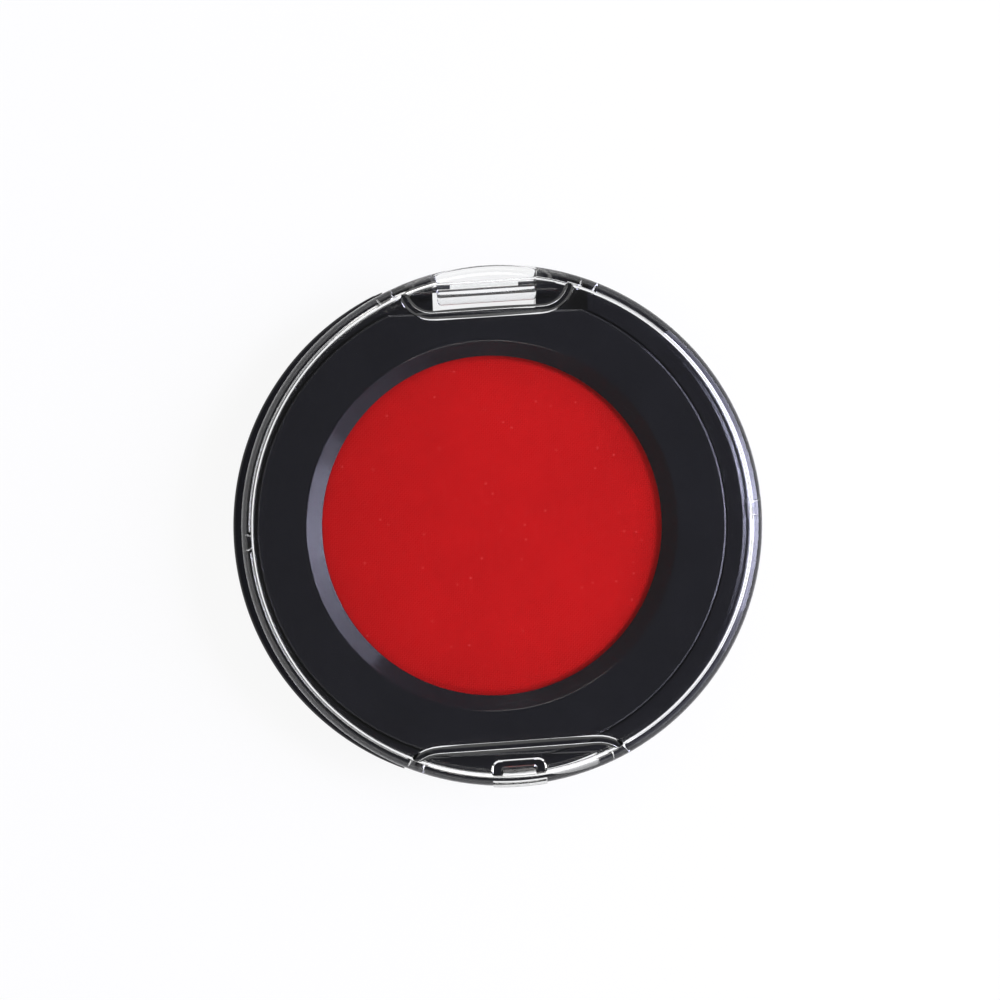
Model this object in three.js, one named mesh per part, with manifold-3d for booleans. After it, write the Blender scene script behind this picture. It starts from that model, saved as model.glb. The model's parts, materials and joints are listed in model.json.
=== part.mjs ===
// A round fingerprint ink pad in a compact case. A black base holds a tray of inked felt under a red
// cloth, a bevelled ring frames the cloth, and a clear domed lid turns on two short pins at the back
// and snaps shut at the front. Millimetres, +Z up. The origin is the centre of the underside, the
// hinge is towards +Y and the thumb recess towards -Y.

import * as THREE from 'three';
import { mergeVertices } from 'three/addons/utils/BufferGeometryUtils.js';
import Module from 'manifold-3d';

const wasm = await Module();
wasm.setup();

// Radii, from the pad outwards
const PAD_RADIUS = 21.6; // opening over the cloth
const BEVEL_WIDTH = 1.9;
const DECK_WIDTH = 6.2;
const FLANGE_WIDTH = 3.3;
const DECK_GAP = 0.25; // round the deck ring in its rebate
const LEDGE_WIDTH = 1.15; // what the deck ring rests on

// Heights, from the underside upwards
const BASE_WALL = 1.6; // floor and side of the base
const ADHESIVE_THICKNESS = 0.6;
const TRAY_WALL = 0.5;
const FELT_DEPTH = 3.9; // inside the tray
const CLOTH_THICKNESS = 0.38;
const CLAMP_GAP = 0.22; // between the cloth's edge and the deck ring
const FLANGE_RISE = 0.8; // flange above the ledge
const DECK_THICKNESS = 1.8;
const BEVEL_LIP = 0.55; // upright lip below the bevel
const SEAT_GAP = 0.25; // between the flange and the lid
const LID_HEIGHT = 6.4; // flange to the top of the dome

// Outside of the base
const SIDE_ROUND = 6.0;
const BASE_EDGE_ROUND = 1.0;

// Pad in its tray
const FELT_MARGIN = 0.1; // felt past the opening
const FELT_GAP = 0.3; // felt to the tray's wall
const FELT_CLEARANCE = 0.1; // felt to the cloth
const TRAY_RIM_WIDTH = 1.5;
const WELL_GAP = 0.3; // tray to the well that locates it
const WELL_WALL = 1.4;
const CLOTH_INSET = 0.1; // cloth's edge inside the tray's rim
const PAD_CROWN = 0.62;

// Lid shell
const LID_WALL = 1.4;
const LID_PLATE = 1.3;
const DOME_RADIUS = 180;
const LID_EDGE_ROUND = 1.85;
const LID_INNER_ROUND = 0.6;

// Hinge
const HINGE_INSET = 2.7; // axis inside the case radius
const HINGE_DROP = 0.7; // axis below the flange
const PIN_RADIUS = 0.45;
const PIN_LENGTH = 4.7;
const PIN_RECESS = 0.2; // pin's outer end inside the ear
const PIN_SEAT_GAP = 0.1;
const PIN_RUN_GAP = 0.2; // loose enough for the lid to sit askew
const KNUCKLE_RADIUS = 1.9;
const KNUCKLE_WEB = 2.45; // thickness of the web over the knuckle
const SLOT_HALF = 6.6;
const SLOT_SIDE_GAP = 0.3;
const SLOT_FRONT_GAP = 1.1;
const EAR_WIDTH = 2.6;
const EAR_RADIUS = 1.2;
const SHELF_DROP = 1.6; // shelf round the ears, below the ledge
const HINGE_BLOCK_WALL = 1.2; // wall of the base in front of the slot
const REAR_FLAT = 1.5; // flat at the back of the base, behind the axis
const BAY_HALF = 10.2; // stretch of the lid's wall that is cut away at the hinge
const BAY_LIP = 0.45; // what is left of the wall under the plate there

// Ribs under the lid
const RIB_THICKNESS = 0.5;
const RIB_GAP = 0.35; // above the deck
const RIB_SWEEP = 80; // degrees of each curved end, past the wall
const HINGE_RIB_SETBACK = 0.17; // in front of the slot
const HINGE_RIB_HALF = 6.8; // straight stretch
const HINGE_RIB_ROUND = 4.1;
const LATCH_BAY_DEPTH = 3.57; // inside the lid's wall
const LATCH_RIB_HALF = 9.8;
const LATCH_RIB_ROUND = 5.45;

// Thumb recess and snap latch
const THUMB_HALF = 12.3;
const THUMB_DEPTH = 1.15;
const DECK_FLAT_INSET = 0.65; // straight front edge of the deck ring
const FRAME_DEPTH = 1.92; // frame behind the latch, inside the lid's wall
const FRAME_HALF = 3.47;
const FRAME_BACK = 0.62;
const FRAME_SIDE = 1.19;
const FRAME_GAP = 1.3; // above the ledge
const TONGUE_HALF = 3.4;
const TONGUE_GAP = 0.35; // tongue to the base
const TONGUE_DROP = 2.6; // below the lid's rim
const BEAD_REACH = 0.55; // bead on the tongue, inwards
const BEAD_HEIGHT = 0.6;
const BEAD_RISE = 0.3; // above the tongue's end
const BEAD_SIDE = 0.4; // bead's ends inside the tongue's sides
const GROOVE_GAP = 0.25; // all round the bead
const GROOVE_PLAY = 2.4; // past the bead's ends, for a lid that sits askew

// Ejector pin marks on the lid's rim, by their angles from the hinge
const MARK_ANGLES = [23.5, 90, 156.5];
const MARK_RADIUS = 1.43;
const MARK_INSET = 0.3; // centre inside the case radius
const MARK_DEPTH = 0.4;

// Facets
const CASE_SIDES = 72;
const PAD_SIDES = 48;
const PIN_SIDES = 12;
const KNUCKLE_SIDES = 32;
const MARK_SIDES = 16;
const ARC_STEPS = 4;
const DOME_STEPS = 6;
const CROWN_STEPS = 6;
const MERGE_DISTANCE = 1e-5;

// Places that follow from the sizes above
const deckRadius = PAD_RADIUS + BEVEL_WIDTH + DECK_WIDTH;
const caseRadius = deckRadius + FLANGE_WIDTH;
const rebateRadius = deckRadius + DECK_GAP;
const ledgeRadius = rebateRadius - LEDGE_WIDTH;
const footRadius = caseRadius - SIDE_ROUND;
const feltRadius = PAD_RADIUS + FELT_MARGIN;
const trayInner = feltRadius + FELT_GAP;
const trayOuter = trayInner + TRAY_WALL;
const trayRim = trayOuter + TRAY_RIM_WIDTH;
const wellInner = trayOuter + WELL_GAP;
const wellOuter = wellInner + WELL_WALL;
const clothRadius = trayRim - CLOTH_INSET;
const lidInner = caseRadius - LID_WALL;
const thumbRadius = caseRadius - THUMB_DEPTH;

const trayBottom = BASE_WALL + ADHESIVE_THICKNESS;
const feltBottom = trayBottom + TRAY_WALL;
const trayTop = feltBottom + FELT_DEPTH;
const wellTop = trayTop - TRAY_WALL;
const clothEdgeTop = trayTop + CLOTH_THICKNESS;
const ledgeTop = clothEdgeTop + CLAMP_GAP;
const shelfTop = ledgeTop - SHELF_DROP;
const partingTop = ledgeTop + FLANGE_RISE;
const deckTop = ledgeTop + DECK_THICKNESS;
const lidBottom = partingTop + SEAT_GAP;
const lidTop = partingTop + LID_HEIGHT;
const domeCentre = lidTop - DOME_RADIUS;

const hingeY = caseRadius - HINGE_INSET;
const hingeZ = partingTop - HINGE_DROP;
const slotFront = hingeY - KNUCKLE_RADIUS - SLOT_FRONT_GAP;
const knuckleHalf = SLOT_HALF - SLOT_SIDE_GAP;
const earOuter = SLOT_HALF + EAR_WIDTH;
const pinOuter = earOuter - PIN_RECESS;
const pinInner = pinOuter - PIN_LENGTH;
const deckRearFlat = slotFront - DECK_GAP;
const deckFrontFlat = deckRadius - DECK_FLAT_INSET;
const shelfHalf = Math.sqrt(caseRadius ** 2 - hingeY ** 2); // where the lid's wall passes the axis
const beyond = 2 * caseRadius; // clear of the whole case

// Closed geometry to a solid that can be joined and cut
function solid(geometry) {
  const bare = new THREE.BufferGeometry();
  bare.setAttribute('position', geometry.getAttribute('position'));
  bare.setIndex(geometry.getIndex());
  const merged = mergeVertices(bare, MERGE_DISTANCE);
  const corners = merged.getIndex().array;
  const triangles = [];
  for (let i = 0; i < corners.length; i += 3) {
    const [a, b, c] = [corners[i], corners[i + 1], corners[i + 2]];
    if (a !== b && b !== c && c !== a) triangles.push(a, b, c);
  }
  return new wasm.Manifold(new wasm.Mesh({
    numProp: 3,
    vertProperties: merged.getAttribute('position').array,
    triVerts: Uint32Array.from(triangles),
  }));
}

// A piece of the case: its solid as a named mesh with its own material
function piece(name, body, finish) {
  const { vertProperties, triVerts } = body.getMesh();
  const geometry = new THREE.BufferGeometry();
  geometry.setAttribute('position', new THREE.BufferAttribute(vertProperties, 3));
  geometry.setIndex(new THREE.BufferAttribute(triVerts, 1));
  geometry.computeVertexNormals();
  const mesh = new THREE.Mesh(geometry, new THREE.MeshStandardMaterial(finish));
  mesh.name = name;
  return mesh;
}

// Solid of revolution about Z from [radius, height] points that run from the underside outwards and up
function turned(profile, sides) {
  const points = profile.map(([radius, height]) => new THREE.Vector2(radius, height));
  return solid(new THREE.LatheGeometry(points, sides).rotateX(Math.PI / 2));
}

function cylinder(radius, low, high, sides) {
  return turned([[0, low], [radius, low], [radius, high], [0, high]], sides);
}

function ring(inner, outer, low, high) {
  return turned([[inner, low], [outer, low], [outer, high], [inner, high], [inner, low]], CASE_SIDES);
}

// Points of an arc in a profile, angles in degrees from the outward direction
function arc(centreRadius, centreHeight, radius, from, to, steps) {
  return Array.from({ length: steps + 1 }, (_, i) => {
    const angle = THREE.MathUtils.degToRad(from + ((to - from) * i) / steps);
    return [centreRadius + radius * Math.cos(angle), centreHeight + radius * Math.sin(angle)];
  });
}

function box(x, y, z) {
  const geometry = new THREE.BoxGeometry(x[1] - x[0], y[1] - y[0], z[1] - z[0]);
  return solid(geometry.translate((x[0] + x[1]) / 2, (y[0] + y[1]) / 2, (z[0] + z[1]) / 2));
}

// Round bar along X, centred on the hinge axis
function hingeBar(radius, x, sides) {
  const geometry = new THREE.CylinderGeometry(radius, radius, x[1] - x[0], sides);
  geometry.rotateZ(Math.PI / 2);
  return solid(geometry.translate((x[0] + x[1]) / 2, hingeY, hingeZ));
}

function prism(outline, low, high) {
  const geometry = new THREE.ExtrudeGeometry(outline, {
    depth: high - low,
    bevelEnabled: false,
    curveSegments: 2 * ARC_STEPS,
  });
  return solid(geometry.translate(0, 0, low));
}

// A ball surface of the dome meets an upright wall in a round edge: the round's centre and where it starts
function domeEdge(ballRadius, wallRadius, round) {
  const centreRadius = wallRadius - round;
  const reach = ballRadius - round;
  return {
    centreRadius,
    centreHeight: domeCentre + Math.sqrt(reach ** 2 - centreRadius ** 2),
    start: THREE.MathUtils.radToDeg(Math.acos(centreRadius / reach)),
  };
}

// Half profile under a dome, from the wall's top over its round edge to the axis
function domeProfile(ballRadius, wallRadius, round) {
  const edge = domeEdge(ballRadius, wallRadius, round);
  const crown = arc(0, domeCentre, ballRadius, edge.start, 90, DOME_STEPS);
  crown[DOME_STEPS][0] = 0;
  return [
    ...arc(edge.centreRadius, edge.centreHeight, round, 0, edge.start, ARC_STEPS),
    ...crown.slice(1),
  ];
}

// Height of the crowned cloth's underside above the tray's rim
function crownRise(radius) {
  return PAD_CROWN * (1 - (radius / feltRadius) ** 4);
}

function crownProfile(lift) {
  return Array.from({ length: CROWN_STEPS + 1 }, (_, i) => {
    const radius = feltRadius * (1 - i / CROWN_STEPS);
    return [radius, trayTop + lift + crownRise(radius)];
  });
}

// Base shell: a shallow bowl with a flange, a rebate for the deck ring and a round well for the tray
function makeBase() {
  const side = arc(footRadius, SIDE_ROUND, SIDE_ROUND, -90, 0, ARC_STEPS + 2);
  const edge = arc(caseRadius - BASE_EDGE_ROUND, partingTop - BASE_EDGE_ROUND, BASE_EDGE_ROUND,
    0, 90, ARC_STEPS);
  const innerRound = SIDE_ROUND - BASE_WALL;
  const innerStart = THREE.MathUtils.radToDeg(Math.acos((ledgeRadius - footRadius) / innerRound));
  const hollow = arc(footRadius, SIDE_ROUND, innerRound, -innerStart, -90, ARC_STEPS);
  const outside = [[0, 0], ...side, ...edge];
  const block = turned([...outside, [0, partingTop]], CASE_SIDES);
  const bowl = turned([
    ...outside,
    [rebateRadius, partingTop],
    [rebateRadius, ledgeTop],
    [ledgeRadius, ledgeTop],
    ...hollow,
    [wellOuter, BASE_WALL],
    [wellOuter, wellTop],
    [wellInner, wellTop],
    [wellInner, BASE_WALL],
    [0, BASE_WALL],
  ], CASE_SIDES);

  // The block round the hinge slot, level with the ledge, and a shelf there that the lid's wall swings over
  const hingeBlock = box([-shelfHalf, shelfHalf], [slotFront - HINGE_BLOCK_WALL, beyond], [0, ledgeTop]);
  const shelf = box([-shelfHalf, shelfHalf], [deckRearFlat, beyond], [shelfTop, beyond]);
  const rearFlat = box([-beyond, beyond], [hingeY + REAR_FLAT, beyond], [-beyond, beyond]);
  const slot = box([-SLOT_HALF, SLOT_HALF], [slotFront, beyond], [-beyond, beyond]);
  const earBox = box([-earOuter, earOuter], [hingeY - EAR_RADIUS, hingeY + EAR_RADIUS],
    [shelfTop - BASE_WALL, hingeZ]);
  const ears = hingeBar(EAR_RADIUS, [-earOuter, earOuter], KNUCKLE_SIDES).add(earBox);
  const pinBore = hingeBar(PIN_RADIUS + PIN_SEAT_GAP, [-beyond, beyond], PIN_SIDES);

  // The thumb recess in front: a scalloped side and a lowered step, with a groove for the latch
  const thumbSpan = box([-THUMB_HALF, THUMB_HALF], [-beyond, 0], [-beyond, beyond]);
  const scallop = ring(thumbRadius, beyond, -beyond, beyond).intersect(thumbSpan);
  const step = box([-THUMB_HALF, THUMB_HALF], [-beyond, -(deckFrontFlat + DECK_GAP)], [ledgeTop, beyond]);
  const groove = latchBead(GROOVE_GAP, GROOVE_PLAY);

  return bowl
    .add(hingeBlock.intersect(block))
    .subtract(shelf)
    .add(ears)
    .subtract(rearFlat)
    .subtract(slot)
    .subtract(pinBore)
    .subtract(scallop)
    .subtract(step)
    .subtract(groove);
}

// The bead on the latch tongue, or with a margin and some play sideways the groove that it snaps into
function latchBead(margin, play) {
  const half = TONGUE_HALF - BEAD_SIDE + margin + play;
  const tongueInner = thumbRadius + TONGUE_GAP;
  const low = lidBottom - TONGUE_DROP + BEAD_RISE - margin;
  const high = low + BEAD_HEIGHT + 2 * margin;
  const outer = (tongueInner + caseRadius) / 2;
  return ring(tongueInner - BEAD_REACH - margin, outer, low, high)
    .intersect(box([-half, half], [-beyond, 0], [low, high]));
}

function makeAdhesive() {
  return cylinder(trayInner, BASE_WALL, trayBottom, PAD_SIDES);
}

function makeTray() {
  return turned([
    [0, trayBottom],
    [trayOuter, trayBottom],
    [trayOuter, wellTop],
    [trayRim, wellTop],
    [trayRim, trayTop],
    [trayInner, trayTop],
    [trayInner, feltBottom],
    [0, feltBottom],
  ], PAD_SIDES);
}

function makeFelt() {
  return turned([[0, feltBottom], [feltRadius, feltBottom], ...crownProfile(-FELT_CLEARANCE)], PAD_SIDES);
}

function makeCloth() {
  const underside = crownProfile(0).reverse();
  return turned([
    ...underside,
    [clothRadius, trayTop],
    [clothRadius, clothEdgeTop],
    ...crownProfile(CLOTH_THICKNESS),
  ], PAD_SIDES);
}

// Deck ring: flat on top, bevelled down to the cloth, with straight edges at the hinge and the latch
function makeDeckRing() {
  const wholeRing = turned([
    [PAD_RADIUS, ledgeTop],
    [deckRadius, ledgeTop],
    [deckRadius, deckTop],
    [PAD_RADIUS + BEVEL_WIDTH, deckTop],
    [PAD_RADIUS, ledgeTop + BEVEL_LIP],
    [PAD_RADIUS, ledgeTop],
  ], CASE_SIDES);
  return wholeRing.intersect(box([-beyond, beyond], [-deckFrontFlat, deckRearFlat], [0, beyond]));
}

function makePin(side) {
  const ends = [side * pinInner, side * pinOuter].sort((a, b) => a - b);
  return hingeBar(PIN_RADIUS, ends, PIN_SIDES);
}

// Outline of a rib across the lid: straight in the middle, with ends that curve out into the wall.
// padFace is the rib's face towards the pad and outwards is +1 at the hinge or -1 at the latch.
function ribOutline(padFace, half, round, outwards) {
  const centreY = outwards * (padFace + round);
  const start = -outwards * 90;
  const end = start + outwards * RIB_SWEEP;
  const point = (radius, degrees, side) => {
    const angle = THREE.MathUtils.degToRad(degrees);
    return new THREE.Vector2(side * (half + radius * Math.cos(angle)), centreY + radius * Math.sin(angle));
  };
  const run = (radius, side) => Array.from({ length: 2 * ARC_STEPS + 1 }, (_, i) =>
    point(radius, start + ((end - start) * i) / (2 * ARC_STEPS), side));
  const outer = [...run(round, -1).reverse(), ...run(round, 1)];
  const inner = [...run(round - RIB_THICKNESS, 1).reverse(), ...run(round - RIB_THICKNESS, -1)];
  return new THREE.Shape([...outer, ...inner]);
}

// Lid: a domed cap in one moulding with its two ribs, the hinge knuckle, the latch frame and the tongue
function makeLid() {
  const outside = domeProfile(DOME_RADIUS, caseRadius, LID_EDGE_ROUND);
  const inside = domeProfile(DOME_RADIUS - LID_PLATE, lidInner, LID_INNER_ROUND);
  const cap = turned([...inside.reverse(), [lidInner, lidBottom], [caseRadius, lidBottom], ...outside],
    CASE_SIDES);

  // Features stop half way into the plate and the wall
  const midWall = caseRadius - LID_WALL / 2;
  const reach = turned([
    [0, 0],
    [midWall, 0],
    ...domeProfile(DOME_RADIUS - LID_PLATE / 2, midWall, LID_INNER_ROUND),
  ], CASE_SIDES);

  // The wall is cut away between the ends of the hinge rib, nearly up to the plate
  const bayTop = domeCentre + Math.sqrt((DOME_RADIUS - LID_PLATE) ** 2 - lidInner ** 2) - BAY_LIP;
  const bay = box([-BAY_HALF, BAY_HALF], [slotFront, beyond], [0, bayTop]);

  const ribBottom = deckTop + RIB_GAP;
  const hingeRibFace = slotFront - HINGE_RIB_SETBACK - RIB_THICKNESS;
  const latchRibFace = lidInner - LATCH_BAY_DEPTH - RIB_THICKNESS;
  const ribs = prism(ribOutline(hingeRibFace, HINGE_RIB_HALF, HINGE_RIB_ROUND, 1), ribBottom, lidTop)
    .add(prism(ribOutline(latchRibFace, LATCH_RIB_HALF, LATCH_RIB_ROUND, -1), ribBottom, lidTop));

  // The knuckle is round in front and square behind, where it is flush with the outside of the lid
  const webFront = hingeY + KNUCKLE_RADIUS - KNUCKLE_WEB;
  const web = box([-knuckleHalf, knuckleHalf], [webFront, caseRadius], [hingeZ, lidTop]);
  const heel = box([-knuckleHalf, knuckleHalf], [hingeY, caseRadius], [hingeZ - KNUCKLE_RADIUS, hingeZ]);
  const flush = turned([
    [0, 0],
    [caseRadius, 0],
    ...domeProfile(DOME_RADIUS - LID_PLATE / 2, caseRadius, LID_EDGE_ROUND),
  ], CASE_SIDES);
  const knuckle = hingeBar(KNUCKLE_RADIUS, [-knuckleHalf, knuckleHalf], KNUCKLE_SIDES)
    .add(web)
    .add(heel)
    .intersect(flush);
  const bore = hingeBar(PIN_RADIUS + PIN_RUN_GAP, [-earOuter, earOuter], PIN_SIDES);

  const frameY = lidInner - FRAME_DEPTH;
  const frameBottom = ledgeTop + FRAME_GAP;
  const hollowHalf = FRAME_HALF - FRAME_SIDE;
  const frame = box([-FRAME_HALF, FRAME_HALF], [-caseRadius, -frameY], [frameBottom, lidTop])
    .subtract(box([-hollowHalf, hollowHalf], [-lidInner, -(frameY + FRAME_BACK)], [0, beyond]));

  const tongueBottom = lidBottom - TONGUE_DROP;
  const tongue = ring(thumbRadius + TONGUE_GAP, caseRadius, tongueBottom, lidBottom + LID_WALL)
    .intersect(box([-TONGUE_HALF, TONGUE_HALF], [-beyond, 0], [0, beyond]));

  const markRadius = caseRadius - MARK_INSET;
  const marks = MARK_ANGLES.flatMap((degrees) => [-degrees, degrees]).map((degrees) => {
    const angle = THREE.MathUtils.degToRad(degrees);
    const place = [markRadius * Math.sin(angle), markRadius * Math.cos(angle), lidBottom - MARK_DEPTH];
    return cylinder(MARK_RADIUS, 0, 2 * MARK_DEPTH, MARK_SIDES).translate(place);
  });

  const whole = cap
    .subtract(bay)
    .add(ribs.add(frame).intersect(reach))
    .add(knuckle)
    .add(tongue)
    .add(latchBead(0, 0))
    .subtract(bore);
  return marks.reduce((lid, mark) => lid.subtract(mark), whole);
}

const blackGloss = { color: 0x1c1c20, roughness: 0.18, metalness: 0 };
const clear = { color: 0xf2f6f8, roughness: 0.05, metalness: 0, transparent: true, opacity: 0.25 };

const inkPad = new THREE.Group();
inkPad.add(
  piece('base_shell', makeBase(), blackGloss),
  piece('tray_adhesive', makeAdhesive(), { color: 0xe8e4d8, roughness: 0.8, metalness: 0 }),
  piece('ink_tray', makeTray(), { color: 0xdcdcd8, roughness: 0.5, metalness: 0 }),
  piece('ink_felt', makeFelt(), { color: 0x8e1416, roughness: 0.95, metalness: 0 }),
  piece('ink_cloth', makeCloth(), { color: 0xb51a1b, roughness: 0.85, metalness: 0 }),
  piece('deck_ring', makeDeckRing(), blackGloss),
  piece('hinge_pin_left', makePin(-1), { color: 0x6f7072, roughness: 0.35, metalness: 1 }),
  piece('hinge_pin_right', makePin(1), { color: 0x6f7072, roughness: 0.35, metalness: 1 }),
  piece('lid', makeLid(), clear),
);

export default inkPad;
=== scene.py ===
import json
import math

import bmesh
import bpy
from mathutils import Matrix, Vector


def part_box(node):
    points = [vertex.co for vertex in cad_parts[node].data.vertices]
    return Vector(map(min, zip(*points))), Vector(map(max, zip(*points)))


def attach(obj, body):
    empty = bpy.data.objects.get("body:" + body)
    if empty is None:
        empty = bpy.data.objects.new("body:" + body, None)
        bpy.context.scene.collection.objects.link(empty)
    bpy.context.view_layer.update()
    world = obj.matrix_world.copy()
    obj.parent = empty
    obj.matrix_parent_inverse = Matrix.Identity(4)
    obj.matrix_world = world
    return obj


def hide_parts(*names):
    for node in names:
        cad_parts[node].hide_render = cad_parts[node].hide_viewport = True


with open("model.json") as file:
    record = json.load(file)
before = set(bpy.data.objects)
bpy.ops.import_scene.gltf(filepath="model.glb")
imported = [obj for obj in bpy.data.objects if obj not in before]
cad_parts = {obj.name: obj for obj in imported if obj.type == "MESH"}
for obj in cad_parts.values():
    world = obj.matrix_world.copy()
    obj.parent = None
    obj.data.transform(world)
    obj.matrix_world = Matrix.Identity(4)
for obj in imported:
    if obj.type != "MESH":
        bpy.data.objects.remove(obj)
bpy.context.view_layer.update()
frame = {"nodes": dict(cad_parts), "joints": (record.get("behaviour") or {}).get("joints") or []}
scene = bpy.context.scene
scene.view_settings.view_transform = "Standard"

# Camera: a long lens over the closed case, almost straight down. The case is turned a little in the
# frame, and its middle is below and left of the frame's.
MM = 0.001
CAMERA_DISTANCE = 250 * MM
CAMERA_TILT = math.radians(1.5)  # to the left
CASE_TURN = math.radians(2.0)
FIELD_WIDTH = 126.3 * MM  # across the frame, level with the lid's edge
LID_EDGE_HEIGHT = 10.5 * MM
AIM_UP = 3.25 * MM  # middle of the frame from the middle of the case
AIM_RIGHT = 0.91 * MM
SENSOR_WIDTH = 36.0
NEAREST = 10 * MM  # that the lens shows

back = Vector((-math.sin(CAMERA_TILT), 0, math.cos(CAMERA_TILT)))
across = Vector((math.cos(CAMERA_TILT), 0, math.sin(CAMERA_TILT)))
along = Vector((0, 1, 0))
right = across * math.cos(CASE_TURN) - along * math.sin(CASE_TURN)
up = along * math.cos(CASE_TURN) + across * math.sin(CASE_TURN)
aim = Vector((0, 0, LID_EDGE_HEIGHT)) + up * AIM_UP + right * AIM_RIGHT
lens = bpy.data.cameras.new("camera")
lens.sensor_width = SENSOR_WIDTH
lens.lens = SENSOR_WIDTH * CAMERA_DISTANCE / FIELD_WIDTH
lens.clip_start = NEAREST
camera = bpy.data.objects.new("camera", lens)
facing = Matrix((right, up, back)).transposed().to_4x4()
camera.matrix_world = Matrix.Translation(aim + back * CAMERA_DISTANCE) @ facing
scene.collection.objects.link(camera)
scene.camera = camera

# Base shell: the lower half of the case, a shallow bowl moulded in gloss black plastic. Its flange has
# a rebate for the deck ring, two ears for the hinge pins behind and a thumb recess in front.
# All sizes of the pieces are in millimetres.
FACET = math.radians(9)  # turned by each facet of a round edge
CASE_SIDES = 288
SHARP = math.radians(25)  # edges that stay sharp in the shading
WELD = 0.0005  # points closer than this become one


def arc(centre, radius, start, end):
    """Points of an arc in a plane, angles in degrees from the first axis."""
    sweep = math.radians(end - start)
    steps = max(2, math.ceil(abs(sweep) / FACET))
    angles = [math.radians(start) + sweep * i / steps for i in range(steps + 1)]
    return [(centre[0] + radius * math.cos(a), centre[1] + radius * math.sin(a)) for a in angles]


def eased(corners, closed=True):
    """Outline with its corners rounded. A corner is (first, second) or (first, second, radius)."""
    points = []
    for i, corner in enumerate(corners):
        here = Vector(corner[:2])
        radius = corner[2] if len(corner) > 2 else 0
        if not radius or (not closed and i in (0, len(corners) - 1)):
            points.append(tuple(here))
            continue
        before = (Vector(corners[i - 1][:2]) - here).normalized()
        after = (Vector(corners[(i + 1) % len(corners)][:2]) - here).normalized()
        half = before.angle(after) / 2
        centre = here + (before + after).normalized() * radius / math.sin(half)
        touch = here + before * radius / math.tan(half) - centre
        sweep = math.pi - 2 * half
        if before.cross(after) > 0:
            sweep = -sweep
        steps = max(2, math.ceil(abs(sweep) / FACET))
        for k in range(steps + 1):
            turn = Matrix.Rotation(sweep * k / steps, 2)
            points.append(tuple(centre + turn @ touch))
    return points


def new_piece(name, body):
    """An object from a bmesh made in millimetres, with its faces turned outwards."""
    bmesh.ops.recalc_face_normals(body, faces=body.faces)
    bmesh.ops.scale(body, vec=(MM, MM, MM), verts=body.verts)
    mesh = bpy.data.meshes.new(name)
    body.to_mesh(mesh)
    body.free()
    piece = bpy.data.objects.new(name, mesh)
    scene.collection.objects.link(piece)
    return piece


def turned(name, profile, sides=CASE_SIDES):
    """Closed body turned about Z from (radius, height) points that end on the axis or form a loop."""
    body = bmesh.new()
    on_axis = profile[0][0] == 0
    turns = [2 * math.pi * k / sides for k in range(sides)]
    rings = []
    for radius, height in profile:
        if radius == 0:
            rings.append([body.verts.new((0, 0, height))] * sides)
            continue
        rings.append([
            body.verts.new((radius * math.sin(t), radius * math.cos(t), height)) for t in turns
        ])
    for lower, upper in zip(rings, rings[1:] if on_axis else rings[1:] + rings[:1]):
        for k in range(sides):
            n = (k + 1) % sides
            loop = dict.fromkeys((lower[k], lower[n], upper[n], upper[k]))
            if len(loop) > 2:
                body.faces.new(loop)
    return new_piece(name, body)


def lofted(name, outlines):
    """Closed body through a row of outlines, each with the same number of points."""
    body = bmesh.new()
    rings = [[body.verts.new(point) for point in outline] for outline in outlines]
    body.faces.new(rings[0])
    body.faces.new(rings[-1])
    for one, two in zip(rings, rings[1:]):
        for k in range(len(one)):
            n = (k + 1) % len(one)
            body.faces.new((one[k], one[n], two[n], two[k]))
    return new_piece(name, body)


def extruded(name, outline, low, high, place=lambda a, b, c: (a, b, c)):
    """Closed prism of an outline. place says where an outline point at a height goes."""
    return lofted(name, [[place(a, b, c) for a, b in outline] for c in (low, high)])


def along_x(a, b, c):
    """Puts an outline drawn in Y and Z at a place along X."""
    return (c, a, b)


def block(x, y, z, corner=0.0):
    """Upright block with rounded corners in plan."""
    outline = [(x[0], y[0], corner), (x[1], y[0], corner), (x[1], y[1], corner), (x[0], y[1], corner)]
    return extruded("block", eased(outline), *z)


def combine(piece, tool, operation):
    """Joins a tool to a piece, cuts it away or keeps what they share. The tool is used up."""
    step = piece.modifiers.new("step", "BOOLEAN")
    step.object = tool
    step.operation = operation
    step.solver = "MANIFOLD"
    shaped = piece.evaluated_get(bpy.context.evaluated_depsgraph_get())
    before = piece.data
    piece.data = bpy.data.meshes.new_from_object(shaped)
    piece.data.name = piece.name
    piece.modifiers.clear()
    bpy.data.meshes.remove(before)
    bpy.data.meshes.remove(tool.data)
    return piece


def smooth(piece):
    """Smooth shading with the sharp edges kept, and flat faces left flat beside round ones."""
    body = bmesh.new()
    body.from_mesh(piece.data)
    bmesh.ops.remove_doubles(body, verts=body.verts, dist=WELD * MM)
    for face in body.faces:
        face.smooth = True
    for edge in body.edges:
        edge.smooth = edge.calc_face_angle(math.pi) < SHARP
    body.to_mesh(piece.data)
    body.free()
    weighted = piece.modifiers.new("flat faces", "WEIGHTED_NORMAL")
    weighted.keep_sharp = True


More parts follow.
